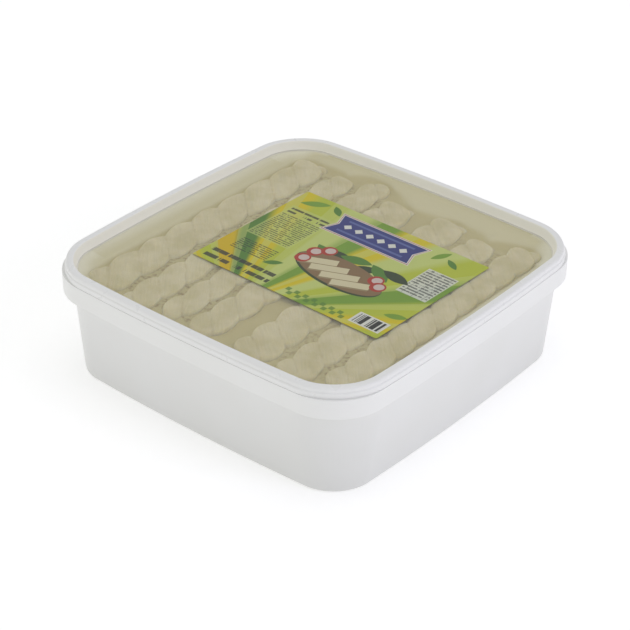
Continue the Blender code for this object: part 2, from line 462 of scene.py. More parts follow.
@dataclass(frozen=True)
class PulledCurd:
    """Pulled curd cheese, stretched and twisted by hand: wet, matt, finely stringy."""

    top_z: float              # height from which the cheese has its own colour
    brine_z: float            # height below which it is lost in the brine
    name: str = "pulled_curd_cheese"
    pale: str = "#D1C7A0"
    cream: str = "#C3B88A"
    # painted shade laid along the creases between strands
    crease: str = "#9E8856"
    steeped: str = "#C6BB8C"  # the cheese as it is lost in the cloudy brine
    patch: float = 16 * MM    # width of the pale and cream patches
    patch_range: tuple[float, float] = (0.35, 0.65)  # of the noise, from pale to cream
    string: float = 1.3 * MM  # width of the strings that show
    string_length: float = 16 * MM
    string_rise: float = 0.45 * MM
    string_strength: float = 0.6
    string_tone: tuple[float, float] = (0.91, 1.06)
    spot: float = 5 * MM      # width of the spots that break up a crease's painted shade
    spot_range: tuple[float, float] = (0.42, 0.66)  # of the noise, from no spot to a full one
    crease_shade_depth: tuple[float, float] = (0.05, 0.32)  # how dark the painted shade in a crease is, between and in its spots
    roughness: float = 0.62
    gloss: float = 0.12       # specular level, low under the brine that wets it
    milkiness: float = 0.8    # share of the light that spreads inside the cheese
    bleed: float = 7 * MM     # how far it spreads
    bleed_colour: Point = (1.0, 0.8, 0.45)

    def material(self) -> bpy.types.Material:
        """Make the material.

        Returns:
            The material, ready to be put on a piece.
        """
        material, tree, shader = new_material(self.name)
        place = add_node(tree, "ShaderNodeTexCoord")
        strand = add_node(tree, "ShaderNodeUVMap", {"uv_map": "strand"})
        crease = add_node(tree, "ShaderNodeAttribute", {"attribute_name": "crease"})
        height = add_node(tree, "ShaderNodeSeparateXYZ", None, {0: place.outputs["Object"]})

        patch = add_node(tree, "ShaderNodeTexNoise", None, {
            "Vector": place.outputs["Object"], "Scale": 1 / self.patch, "Detail": 3.0})
        blend = add_node(tree, "ShaderNodeMapRange", None, {
            "Value": patch.outputs["Fac"], "From Min": self.patch_range[0],
            "From Max": self.patch_range[1]})
        cheese = add_node(tree, "ShaderNodeMix", {"data_type": "RGBA"}, {
            0: blend.outputs["Result"], 6: linear(self.pale), 7: linear(self.cream)})

        along = add_node(tree, "ShaderNodeMapping", None, {
            "Vector": strand.outputs["UV"],
            "Scale": (1 / self.string, 1 / self.string_length, 1.0)})
        strings = add_node(tree, "ShaderNodeTexNoise", None, {
            "Vector": along.outputs["Vector"], "Scale": 1.0, "Detail": 4.0, "Roughness": 0.6})
        streak = add_node(tree, "ShaderNodeMapRange", None, {
            "Value": strings.outputs["Fac"], "From Min": NOISE_LOW, "From Max": NOISE_HIGH,
            "To Min": self.string_tone[0], "To Max": self.string_tone[1]})
        streaked = add_node(tree, "ShaderNodeVectorMath", {"operation": "SCALE"}, {
            0: cheese.outputs[2], "Scale": streak.outputs["Result"]})

        # painted shade along the creases, broken up by spots
        spots = add_node(tree, "ShaderNodeTexNoise", None, {
            "Vector": place.outputs["Object"], "Scale": 1 / self.spot, "Detail": 2.0})
        spotted = add_node(tree, "ShaderNodeMapRange", None, {
            "Value": spots.outputs["Fac"], "From Min": self.spot_range[0], "From Max": self.spot_range[1],
            "To Min": self.crease_shade_depth[0], "To Max": self.crease_shade_depth[1]})
        crease_shade_amount = add_node(tree, "ShaderNodeMath", {"operation": "MULTIPLY"}, {
            0: crease.outputs["Fac"], 1: spotted.outputs["Result"]})
        crease_shaded = add_node(tree, "ShaderNodeMix", {"data_type": "RGBA"}, {
            0: crease_shade_amount.outputs[0], 6: streaked.outputs["Vector"], 7: linear(self.crease)})

        depth = add_node(tree, "ShaderNodeMapRange", {"interpolation_type": "SMOOTHSTEP"}, {
            "Value": height.outputs["Z"], "From Min": self.top_z, "From Max": self.brine_z})
        steeped = add_node(tree, "ShaderNodeMix", {"data_type": "RGBA"}, {
            0: depth.outputs["Result"], 6: crease_shaded.outputs[2], 7: linear(self.steeped)})

        bump = add_node(tree, "ShaderNodeBump", None, {
            "Height": strings.outputs["Fac"], "Strength": self.string_strength, "Distance": self.string_rise})
        tree.links.new(steeped.outputs[2], shader.inputs["Base Color"])
        tree.links.new(bump.outputs["Normal"], shader.inputs["Normal"])
        shader.inputs["Roughness"].default_value = self.roughness
        shader.inputs["Specular IOR Level"].default_value = self.gloss
        shader.inputs["Subsurface Weight"].default_value = self.milkiness
        shader.inputs["Subsurface Radius"].default_value = self.bleed_colour
        shader.inputs["Subsurface Scale"].default_value = self.bleed
        return material


@dataclass(frozen=True)
class CloudyBrine:
    """Brine clouded by whey: it hides what lies a few millimetres down."""

    high_z: float            # height from which the brine is palest
    low_z: float             # height below which it is deepest in colour and painted darkest, as shade in the gaps
    name: str = "cloudy_whey_brine"
    high: str = "#CEC69D"
    # the brine's own colour where deep, painted darker as shade in the gaps between braids
    low: str = "#BCB07A"
    wall: str = "#EAE7D2"    # the tub's white wall seen through a little brine, with painted light by the lit side walls
    seam: str = "#A39656"    # painted shade on the brine between two close braids
    seam_shade_share: float = 0.45
    speck: str = "#86703C"   # dark brown specks, scattered by noise, only where two braids lie close
    speck_share: float = 0.75
    speck_range: tuple[float, float] = (0.48, 0.64)  # of the noise, from no speck to a full one
    speck_size: float = 3.2 * MM
    cloud: float = 22 * MM   # width of the clouds
    drift: float = 1 * MM    # how much they raise the fade
    roughness: float = 0.55
    gloss: float = 0.1

    def material(self) -> bpy.types.Material:
        """Make the material.

        Returns:
            The material, ready to be put on a piece.
        """
        material, tree, shader = new_material(self.name)
        place = add_node(tree, "ShaderNodeTexCoord")
        height = add_node(tree, "ShaderNodeSeparateXYZ", None, {0: place.outputs["Object"]})
        cloud = add_node(tree, "ShaderNodeTexNoise", None, {
            "Vector": place.outputs["Object"], "Scale": 1 / self.cloud, "Detail": 3.0})
        drift = add_node(tree, "ShaderNodeMath", {"operation": "MULTIPLY_ADD"}, {
            0: cloud.outputs["Fac"], 1: self.drift, 2: height.outputs["Z"]})
        depth = add_node(tree, "ShaderNodeMapRange", {"interpolation_type": "SMOOTHSTEP"}, {
            "Value": drift.outputs[0], "From Min": self.low_z + self.drift / 2,
            "From Max": self.high_z + self.drift / 2})
        # deeper brine turns to its own colour and to painted shade
        tone = add_node(tree, "ShaderNodeMix", {"data_type": "RGBA"}, {
            0: depth.outputs["Result"], 6: linear(self.low), 7: linear(self.high)})
        speck_noise = add_node(tree, "ShaderNodeTexNoise", None, {
            "Vector": place.outputs["Object"], "Scale": 1 / self.speck_size, "Detail": 3.0})
        speck_amount = add_node(tree, "ShaderNodeMapRange", None, {
            "Value": speck_noise.outputs["Fac"], "From Min": self.speck_range[0],
            "From Max": self.speck_range[1], "To Max": self.speck_share})
        # painted shade where two braids lie close
        seam = add_node(tree, "ShaderNodeAttribute", {"attribute_name": "seam"})
        shade = add_node(tree, "ShaderNodeMath", {"operation": "MULTIPLY"}, {
            0: seam.outputs["Fac"], 1: self.seam_shade_share})
        seam_shaded = add_node(tree, "ShaderNodeMix", {"data_type": "RGBA"}, {
            0: shade.outputs[0], 6: tone.outputs[2], 7: linear(self.seam)})
        cover = add_node(tree, "ShaderNodeMath", {"operation": "MULTIPLY"}, {
            0: speck_amount.outputs["Result"], 1: seam.outputs["Fac"]})
        specked = add_node(tree, "ShaderNodeMix", {"data_type": "RGBA"}, {
            0: cover.outputs[0], 6: seam_shaded.outputs[2], 7: linear(self.speck)})
        # the white wall seen through thin brine, and painted light reaching further in by the side walls
        pale = add_node(tree, "ShaderNodeAttribute", {"attribute_name": "pale"})
        faded = add_node(tree, "ShaderNodeMix", {"data_type": "RGBA"}, {
            0: pale.outputs["Fac"], 6: specked.outputs[2], 7: linear(self.wall)})
        tree.links.new(faded.outputs[2], shader.inputs["Base Color"])
        shader.inputs["Roughness"].default_value = self.roughness
        shader.inputs["Specular IOR Level"].default_value = self.gloss
        return material


class Ink(Enum):
    """The printing inks of the label."""

    YELLOW = "#DDCA12"
    GOLD = "#DBBC0C"
    LIME = "#BFCA3E"
    PALE = "#CBD67E"
    GREEN = "#7FA636"
    LEAF = "#5C8A34"
    DARK = "#3B4A2E"
    BLUE = "#3A4184"
    SKY = "#6F7FB4"
    RED = "#B8402F"
    WHITE = "#E4E5DA"
    CREAM = "#DDD3AC"
    WOOD = "#8F7450"
    TAN = "#A2916A"
    BLACK = "#33352F"


class Shape(Enum):
    """The plain shapes and patterns that the label is printed with."""

    BOX = "box"
    DISC = "disc"
    LEAF = "leaf"
    BANNER = "banner"
    RULES = "rules"
    BARS = "bars"
    CHECKS = "checks"
    LOZENGES = "lozenges"
    GRID = "grid"


@dataclass(frozen=True)
class Print:
    """One printed shape, in millimetres from the label's middle."""

    shape: Shape
    ink: Ink
    x: float
    y: float
    half_width: float
    half_height: float
    turn: float = 0.0      # degrees
    strength: float = 1.0
    pitch: tuple[float, float] = (1.0, 1.0)  # of a pattern


@dataclass(frozen=True)
class PrintedFilm:
    """Plastic film printed in flat inks and stuck down: smooth, semi-gloss, hardly waved."""

    centre: Point
    turn: float
    prints: tuple[Print, ...]
    fan_centre: tuple[float, float] = (-18.0, -92.0)
    fan_angles: tuple[float, float] = (math.radians(15), math.radians(155))
    rays: float = 11.6        # pale rays over the fan
    ray_width: float = 0.3    # of a ray's step
    ray_strength: float = 0.45
    stripe_softness: float = 0.15  # of a stripe's width
    name: str = "printed_label_film"
    roughness: float = 0.33
    ior: float = 1.5
    density: tuple[float, float] = (0.78, 0.86)  # share of the ink's colour that shows
    screen: float = 0.5 * MM  # width of the print's own unevenness
    wave: float = 26 * MM     # width of the film's waves
    wave_rise: float = 0.3 * MM
    wave_strength: float = 0.4
    milkiness: float = 0.6    # share of the light that spreads inside the film
    bleed: float = 0.15 * MM  # enough for the thin film to glow through

    NOTCH = 0.12              # depth of a banner's cut ends, in half widths
    GRID_LINES = (0.07, 0.16)  # width of a grid's upright and level lines, in cells
    LOZENGE = 0.36            # half a lozenge, in cells
    BARS_LEFT_OUT = 0.45      # share of the bars
    RULE_OFFSET = 7.7         # keeps one rule's dashes from lining up with the next one's
    RULE_GAPS = 0.43          # noise below which a rule is broken
    RULE_HEIGHT = 0.5         # in cells

    def shape_group(self, shape: Shape) -> bpy.types.NodeTree:
        """Return the node group that is 1 inside a shape and 0 outside it.

        Args:
            shape: what the group draws.

        Returns:
            A group with Point, Centre, Half, Pitch and Turn inputs and a Mask output.
        """
        name = f"{shape.value}_print"
        if name in bpy.data.node_groups:
            return bpy.data.node_groups[name]
        group = bpy.data.node_groups.new(name, "ShaderNodeTree")
        for label in ("Point", "Centre", "Half", "Pitch"):
            group.interface.new_socket(label, in_out="INPUT", socket_type="NodeSocketVector")
        group.interface.new_socket("Turn", in_out="INPUT", socket_type="NodeSocketFloat")
        group.interface.new_socket("Mask", in_out="OUTPUT", socket_type="NodeSocketFloat")
        given = add_node(group, "NodeGroupInput").outputs
        shifted = add_node(group, "ShaderNodeVectorMath", {"operation": "SUBTRACT"}, {
            0: given["Point"], 1: given["Centre"]})
        turned = add_node(group, "ShaderNodeVectorRotate", {"rotation_type": "Z_AXIS"}, {
            "Vector": shifted.outputs[0], "Angle": given["Turn"]})
        scaled = add_node(group, "ShaderNodeVectorMath", {"operation": "DIVIDE"}, {
            0: turned.outputs[0], 1: given["Half"]})
        folded = add_node(group, "ShaderNodeVectorMath", {"operation": "ABSOLUTE"}, {
            0: scaled.outputs[0]})
        parts = add_node(group, "ShaderNodeSeparateXYZ", None, {0: folded.outputs[0]})
        across, along = parts.outputs["X"], parts.outputs["Y"]
        if shape is Shape.DISC:
            square = add_node(group, "ShaderNodeMath", {"operation": "POWER"}, {0: along, 1: 2.0})
            total = add_node(group, "ShaderNodeMath", {"operation": "MULTIPLY_ADD"}, {
                0: across, 1: across, 2: square.outputs[0]})
            reach = add_node(group, "ShaderNodeMath", {"operation": "POWER"}, {0: total.outputs[0], 1: 0.5})
        elif shape is Shape.LEAF:
            reach = add_node(group, "ShaderNodeMath", {"operation": "MULTIPLY_ADD"}, {
                0: across, 1: across, 2: along})
        elif shape is Shape.BANNER:
            notch = add_node(group, "ShaderNodeMath", {"operation": "MULTIPLY_ADD"}, {
                0: along, 1: -self.NOTCH, 2: self.NOTCH})
            end = add_node(group, "ShaderNodeMath", {"operation": "ADD"}, {0: across, 1: notch.outputs[0]})
            reach = add_node(group, "ShaderNodeMath", {"operation": "MAXIMUM"}, {0: end.outputs[0], 1: along})
        else:
            reach = add_node(group, "ShaderNodeMath", {"operation": "MAXIMUM"}, {0: across, 1: along})
        mask = add_node(group, "ShaderNodeMath", {"operation": "LESS_THAN"}, {0: reach.outputs[0], 1: 1.0})
        if shape in (Shape.RULES, Shape.BARS, Shape.CHECKS, Shape.LOZENGES, Shape.GRID):
            cell = add_node(group, "ShaderNodeVectorMath", {"operation": "DIVIDE"}, {
                0: turned.outputs[0], 1: given["Pitch"]}).outputs[0]
            mask = add_node(group, "ShaderNodeMath", {"operation": "MULTIPLY"}, {
                0: mask.outputs[0], 1: self.pattern(group, shape, cell)})
        add_node(group, "NodeGroupOutput", None, {"Mask": mask.outputs[0]})
        return group

    def pattern(self, tree: bpy.types.NodeTree, shape: Shape, cell: bpy.types.NodeSocket
                ) -> bpy.types.NodeSocket:
        """Return the mask of a repeating pattern.

        Args:
            tree: the shape's node group.
            shape: which pattern.
            cell: the place, in steps of the pattern.

        Returns:
            1 where the pattern is printed and 0 elsewhere.
        """
        parts = add_node(tree, "ShaderNodeSeparateXYZ", None, {0: cell})
        across, along = parts.outputs["X"], parts.outputs["Y"]
        if shape is Shape.CHECKS:
            return add_node(tree, "ShaderNodeTexChecker", None, {"Vector": cell, "Scale": 1.0}).outputs["Fac"]
        in_column, in_row = (
            add_node(tree, "ShaderNodeMath", {"operation": "FRACT"}, {0: place}).outputs[0]
            for place in (across, along))
        if shape is Shape.GRID:
            upright, level = self.GRID_LINES
            column = add_node(tree, "ShaderNodeMath", {"operation": "LESS_THAN"}, {0: in_column, 1: upright})
            row = add_node(tree, "ShaderNodeMath", {"operation": "LESS_THAN"}, {0: in_row, 1: level})
            mask = add_node(tree, "ShaderNodeMath", {"operation": "MAXIMUM"}, {
                0: column.outputs[0], 1: row.outputs[0]})
        elif shape is Shape.LOZENGES:
            shifted = add_node(tree, "ShaderNodeMath", {"operation": "SUBTRACT"}, {0: in_column, 1: 0.5})
            aside = add_node(tree, "ShaderNodeMath", {"operation": "ABSOLUTE"}, {0: shifted.outputs[0]})
            above = add_node(tree, "ShaderNodeMath", {"operation": "ABSOLUTE"}, {0: along})
            reach = add_node(tree, "ShaderNodeMath", {"operation": "ADD"}, {
                0: aside.outputs[0], 1: above.outputs[0]})
            mask = add_node(tree, "ShaderNodeMath", {"operation": "LESS_THAN"}, {
                0: reach.outputs[0], 1: self.LOZENGE})
        elif shape is Shape.BARS:
            column = add_node(tree, "ShaderNodeMath", {"operation": "FLOOR"}, {0: across})
            dice = add_node(tree, "ShaderNodeTexWhiteNoise", {"noise_dimensions": "1D"}, {
                "W": column.outputs[0]})
            mask = add_node(tree, "ShaderNodeMath", {"operation": "GREATER_THAN"}, {
                0: dice.outputs["Value"], 1: self.BARS_LEFT_OUT})
        else:
            row = add_node(tree, "ShaderNodeMath", {"operation": "FLOOR"}, {0: along})
            shift = add_node(tree, "ShaderNodeMath", {"operation": "MULTIPLY"}, {
                0: row.outputs[0], 1: self.RULE_OFFSET})
            place = add_node(tree, "ShaderNodeCombineXYZ", None, {"X": across, "Y": shift.outputs[0]})
            dashes = add_node(tree, "ShaderNodeTexNoise", None, {
                "Vector": place.outputs[0], "Scale": 1.0, "Detail": 2.0})
            dash = add_node(tree, "ShaderNodeMath", {"operation": "GREATER_THAN"}, {
                0: dashes.outputs["Fac"], 1: self.RULE_GAPS})
            rule = add_node(tree, "ShaderNodeMath", {"operation": "LESS_THAN"}, {
                0: in_row, 1: self.RULE_HEIGHT})
            mask = add_node(tree, "ShaderNodeMath", {"operation": "MULTIPLY"}, {
                0: dash.outputs[0], 1: rule.outputs[0]})
        return mask.outputs[0]

    def fan(self, tree: bpy.types.NodeTree, point: bpy.types.NodeSocket) -> bpy.types.NodeSocket:
        """Print the ground: stripes that fan out from below the label.

        Args:
            tree: the material's nodes.
            point: the place on the label, in millimetres.

        Returns:
            The ground's colour.
        """
        shifted = add_node(tree, "ShaderNodeVectorMath", {"operation": "SUBTRACT"}, {
            0: point, 1: (*self.fan_centre, 0.0)})
        parts = add_node(tree, "ShaderNodeSeparateXYZ", None, {0: shifted.outputs[0]})
        angle = add_node(tree, "ShaderNodeMath", {"operation": "ARCTAN2"}, {
            0: parts.outputs["Y"], 1: parts.outputs["X"]})
        share = add_node(tree, "ShaderNodeMapRange", None, {
            "Value": angle.outputs[0], "From Min": self.fan_angles[0], "From Max": self.fan_angles[1]})
        stripes = add_node(tree, "ShaderNodeValToRGB", None, {"Fac": share.outputs["Result"]})
        inks = (Ink.LIME, Ink.YELLOW, Ink.LIME, Ink.GREEN, Ink.LIME, Ink.PALE, Ink.YELLOW,
                Ink.GREEN, Ink.PALE, Ink.LIME, Ink.YELLOW, Ink.LEAF, Ink.GOLD, Ink.LIME, Ink.YELLOW)
        ramp = stripes.color_ramp
        ramp.interpolation = "LINEAR"
        soft = self.stripe_softness / len(inks)
        for number, ink in enumerate(inks):
            for place in (number / len(inks) + soft, (number + 1) / len(inks) - soft):
                stop = ramp.elements.new(place)
                stop.color = linear(ink.value)
        ramp.elements.remove(ramp.elements[-1])
        ramp.elements.remove(ramp.elements[0])
        steps = add_node(tree, "ShaderNodeMath", {"operation": "MULTIPLY"}, {
            0: share.outputs["Result"], 1: self.rays})
        step = add_node(tree, "ShaderNodeMath", {"operation": "FRACT"}, {0: steps.outputs[0]})
        in_ray = add_node(tree, "ShaderNodeMath", {"operation": "LESS_THAN"}, {
            0: step.outputs[0], 1: self.ray_width})
        ray = add_node(tree, "ShaderNodeMath", {"operation": "MULTIPLY"}, {
            0: in_ray.outputs[0], 1: self.ray_strength})
        return add_node(tree, "ShaderNodeMix", {"data_type": "RGBA"}, {
            0: ray.outputs[0], 6: stripes.outputs["Color"], 7: linear(Ink.PALE.value)}).outputs[2]

    def material(self) -> bpy.types.Material:
        """Make the material.

        Returns:
            The material, ready to be put on a piece.
        """
        material, tree, shader = new_material(self.name)
        place = add_node(tree, "ShaderNodeTexCoord")
        centred = add_node(tree, "ShaderNodeVectorMath", {"operation": "SUBTRACT"}, {
            0: place.outputs["Object"], 1: self.centre})
        point = add_node(tree, "ShaderNodeMapping", None, {
            "Vector": centred.outputs[0], "Rotation": (0.0, 0.0, -self.turn),
            "Scale": (1 / MM, 1 / MM, 1 / MM)}).outputs[0]
        colour = self.fan(tree, point)
        for motif in self.prints:
            mask = add_node(tree, "ShaderNodeGroup", {"node_tree": self.shape_group(motif.shape)}, {
                "Point": point, "Centre": (motif.x, motif.y, 0.0),
                "Half": (motif.half_width, motif.half_height, 1.0),
                "Pitch": (*motif.pitch, 1.0), "Turn": -math.radians(motif.turn)})
            cover = mask.outputs[0]
            if motif.strength < 1:
                cover = add_node(tree, "ShaderNodeMath", {"operation": "MULTIPLY"}, {
                    0: cover, 1: motif.strength}).outputs[0]
            colour = add_node(tree, "ShaderNodeMix", {"data_type": "RGBA"}, {
                0: cover, 6: colour, 7: linear(motif.ink.value)}).outputs[2]
        density = add_node(tree, "ShaderNodeTexNoise", None, {
            "Vector": place.outputs["Object"], "Scale": 1 / self.screen, "Detail": 2.0})
        screen = add_node(tree, "ShaderNodeMapRange", None, {
            "Value": density.outputs["Fac"], "To Min": self.density[0], "To Max": self.density[1]})
        printed = add_node(tree, "ShaderNodeVectorMath", {"operation": "SCALE"}, {
            0: colour, "Scale": screen.outputs["Result"]})
        wave = add_node(tree, "ShaderNodeTexNoise", None, {
            "Vector": place.outputs["Object"], "Scale": 1 / self.wave, "Detail": 1.0})
        bump = add_node(tree, "ShaderNodeBump", None, {
            "Height": wave.outputs["Fac"], "Strength": self.wave_strength, "Distance": self.wave_rise})
        tree.links.new(printed.outputs["Vector"], shader.inputs["Base Color"])
        tree.links.new(bump.outputs["Normal"], shader.inputs["Normal"])
        shader.inputs["Roughness"].default_value = self.roughness
        shader.inputs["IOR"].default_value = self.ior
        shader.inputs["Subsurface Weight"].default_value = self.milkiness
        shader.inputs["Subsurface Radius"].default_value = (1.0, 1.0, 1.0)
        shader.inputs["Subsurface Scale"].default_value = self.bleed
        return material


@dataclass(frozen=True)
class LitTable:
    """Opal table top that is lit softly from below: matt, hardly shaded at all."""

    name: str = "opal_light_table"
    white: str = "#EEEEEE"
    shade: str = "#EAEAE9"
    glow: float = 0.44
    roughness: float = 0.9
    gloss: float = 0.2
    tooth: float = 4 * MM

    def material(self) -> bpy.types.Material:
        """Make the material.

        Returns:
            The material, ready to be put on a piece.
        """
        material, tree, shader = new_material(self.name)
        place = add_node(tree, "ShaderNodeTexCoord")
        tooth = add_node(tree, "ShaderNodeTexNoise", None, {
            "Vector": place.outputs["Object"], "Scale": 1 / self.tooth, "Detail": 3.0})
        tone = add_node(tree, "ShaderNodeMix", {"data_type": "RGBA"}, {
            0: tooth.outputs["Fac"], 6: linear(self.white), 7: linear(self.shade)})
        tree.links.new(tone.outputs[2], shader.inputs["Base Color"])
        tree.links.new(tone.outputs[2], shader.inputs["Emission Color"])
        shader.inputs["Emission Strength"].default_value = self.glow
        shader.inputs["Roughness"].default_value = self.roughness
        shader.inputs["Specular IOR Level"].default_value = self.gloss
        return material


# ----------------------------------------------------------------- assemblies


@dataclass(frozen=True)
class Tub:
    """The white tub: tapered bulging wall, collar, neck, and the wetted inside."""

    collar_bow: float = 3.8 * MM
    collar_radius: float = 33.0 * MM
    rim_radius: float = 36.5 * MM
    wall_top_inset: float = 3.6 * MM
    wall_top_bow: float = 6.0 * MM
    wall_top_radius: float = 38.0 * MM
    foot_inset: float = 10.2 * MM
    foot_bow: float = 3.7 * MM
    foot_radius: float = 25.5 * MM
    foot_rounding: float = 3.2 * MM
    foot_ring: float = 7.0 * MM    # width of the ring that the tub stands on
    foot_recess: float = 0.9 * MM
    collar_height: float = 13.4 * MM
    neck_height: float = 5.2 * MM
    neck_inset: float = 2.9 * MM
    neck_wall: float = 1.7 * MM
    wall: float = 1.6 * MM
    floor: float = 2.0 * MM
    edge: float = 0.15 * MM        # rounding of the collar's edges

    @property
    def neck_top(self) -> float:
        """Return the height of the neck's edge, which is the tub's top."""
        return node_box("tub")[1].z

    @property
    def collar_top(self) -> float:
        """Return the height of the ledge that the lid sits on."""
        return self.neck_top - self.neck_height

    @property
    def collar_bottom(self) -> float:
        """Return the height of the collar's lower edge."""
        return self.collar_top - self.collar_height

    def collar(self, z: float) -> Outline:
        """Return the collar's face at a height."""
        return Outline(node_box("tub")[1].x - self.collar_bow, self.collar_radius, self.collar_bow, z)

    def rim(self, inset: float, z: float) -> Outline:
        """Return an outline of the neck or the lid, inset from the collar's face."""
        return replace(self.collar(z), radius=self.rim_radius).inset(inset)

    def outer(self, z: float) -> Outline:
        """Follow the tapered wall's outer face.

        Args:
            z: height above the tub's foot.

        Returns:
            The face's outline at that height.
        """
        half = self.collar(0.0).half
        foot = Outline(half - self.foot_inset, self.foot_radius, self.foot_bow, 0.0)
        top = Outline(half - self.wall_top_inset, self.wall_top_radius, self.wall_top_bow,
                      self.collar_bottom)
        return foot.towards(top, z / self.collar_bottom)

    def inner(self, z: float) -> Outline:
        """Follow the tub's inner face: tapered up to the collar, then up to the neck's edge.

        Args:
            z: height above the tub's foot.

        Returns:
            The face's outline at that height.
        """
        if z <= self.collar_bottom:
            return self.outer(z).inset(self.wall)
        low = self.outer(self.collar_bottom).inset(self.wall)
        high = self.rim(self.neck_inset + self.neck_wall, self.neck_top)
        return low.towards(high, (z - low.z) / (high.z - low.z))

    def profile(self) -> list[Outline]:
        """Lay out the tub's wall.

        Returns:
            Every ring, from the foot's recess round to the inner floor.
        """
        foot = self.outer(0.0)
        standing = self.foot_rounding + self.foot_ring
        return rounded_profile([
            (foot.inset(standing + self.foot_recess, self.foot_recess), 0.0),
            (foot.inset(standing, 0.0), 0.3 * MM),
            (foot, self.foot_rounding),
            (self.outer(self.collar_bottom), 0.5 * self.edge),
            (self.collar(self.collar_bottom), self.edge),
            (self.collar(self.collar_top), self.edge),
            (self.rim(self.neck_inset, self.collar_top), 0.3 * MM),
            (self.rim(self.neck_inset, self.neck_top), 0.5 * MM),
            (self.inner(self.neck_top), 0.5 * MM),
            (self.inner(self.collar_bottom), 4 * MM),
            (self.inner(self.floor), self.foot_rounding),
            (self.inner(self.floor).inset(4 * self.foot_rounding), 0.0),
        ])

    def build(self, white: MouldedPolypropylene, wetted: WettedPolypropylene) -> bpy.types.Object:
        """Build and dress the tub.

        Args:
            white: finish of the outside.
            wetted: finish of the inside.

        Returns:
            The tub.
        """
        profile = self.profile()
        tub = extrude_shell("tub_shell", profile)
        tub.data.materials.append(white.material())
        tub.data.materials.append(wetted.material())
        inside = min(number for number, outline in enumerate(profile)
                     if outline.gap(self.inner(self.neck_top)) < MM)
        rings = tub.data.attributes["ring"].data
        for face in tub.data.polygons:
            if min(rings[vertex].value for vertex in face.vertices) >= inside:
                face.material_index = 1
        finish_piece(tub, "tub_plastic", "tub")
        return tub


@dataclass(frozen=True)
class Lid:
    """The press-on lid: lipped skirt, milky rim, and a clear panel sunk inside it."""

    tub: Tub
    skirt_inset: float = 0.35 * MM  # from the collar's face
    lip_depth: float = 0.8 * MM
    lip_drop: float = 2.8 * MM    # from the rim's top to the lip
    panel_drop: float = 6.2 * MM
    recess_inset: float = 6.4 * MM
    panel_inset: float = 8.4 * MM
    wall: float = 1.2 * MM
    fit: float = 0.02 * MM        # gap between the lid and the tub
    rim_rounding: float = 1.9 * MM
    slack: float = 0.25 * MM      # allowed for when a ring is told apart
    land: float = 0.5 * MM        # cloudy ring round the panel's underside
    overlap: float = 6 * MM       # from the panel's edge to its flat middle

    @property
    def top(self) -> float:
        """Return the height of the rim's top."""
        return node_box("lid")[1].z

    @property
    def panel_top(self) -> float:
        """Return the height of the sunk panel's upper face."""
        return self.top - self.panel_drop

    def profile(self) -> list[Outline]:
        """Lay out the lid's wall.

        Returns:
            Every ring, from the panel's upper face round to its lower one.
        """
        rim, low = self.tub.rim, node_box("lid")[0].z
        skirt_foot = self.tub.collar_top + self.fit
        face, under = self.skirt_inset + self.lip_depth, self.top - self.wall
        lip = self.top - self.lip_drop
        return rounded_profile([
            (rim(self.panel_inset + self.overlap, self.panel_top), 0.0),
            (rim(self.panel_inset, self.panel_top), 0.9 * MM),
            (rim(self.recess_inset, self.top), 0.9 * MM),
            (rim(face, self.top), self.rim_rounding),
            (rim(face, lip), 0.2 * MM),
            (rim(self.skirt_inset, lip - self.lip_depth), 0.4 * MM),
            (rim(self.skirt_inset, skirt_foot), 0.1 * MM),
            (rim(self.tub.neck_inset - self.fit, skirt_foot), 0.2 * MM),
            (rim(self.tub.neck_inset - self.fit, under), 0.3 * MM),
            (rim(self.recess_inset - self.wall, under), 0.3 * MM),
            (rim(self.panel_inset - self.wall, low), 0.5 * MM),
            (rim(self.panel_inset + self.land, low), 0.0),
            (rim(self.panel_inset + self.overlap, low), 0.0),
        ])

    def zone(self, number: int, profile: list[Outline]) -> int:
        """Choose the finish of the faces that follow a ring.

        Args:
            number: the ring's number.
            profile: every ring of the lid.

        Returns:
            0 for the rim, 1 for the recess wall, 2 for the panel.
        """
        inset = self.tub.rim(0.0, 0.0).half - profile[number].half
        upper = number < len(profile) / 2
        if inset > self.panel_inset + (self.slack if upper else self.land - self.slack):
            return 2
        return int(inset > self.recess_inset - self.slack - (0.0 if upper else self.wall))

    def finishes(self) -> tuple[ClearPolypropylene, ...]:
        """Return the rim's, the recess wall's and the panel's finish."""
        return (ClearPolypropylene("milky_polypropylene", "#F1F1EF", milkiness=0.94, roughness=0.30),
                # the recess wall carries a painted glow
                ClearPolypropylene("cloudy_polypropylene_painted_glow", "#EBE9DF", milkiness=0.95, roughness=0.28,
                                   gloss=0.0, glow=0.08),
                ClearPolypropylene("clear_polypropylene", "#EDEDE4", milkiness=0.10, roughness=0.22))

    def build(self) -> bpy.types.Object:
        """Build and dress the lid.

        Returns:
            The lid.
        """
        profile = self.profile()
        lid = extrude_shell("lid_shell", profile)
        for finish in self.finishes():
            lid.data.materials.append(finish.material())
        rings = lid.data.attributes["ring"].data
        for face in lid.data.polygons:
            cap = len(face.vertices) > 4
            ring = min(rings[vertex].value for vertex in face.vertices)
            face.material_index = 2 if cap else self.zone(ring, profile)
        finish_piece(lid, "lid_plastic", "lid", angle=30.0)
        return lid


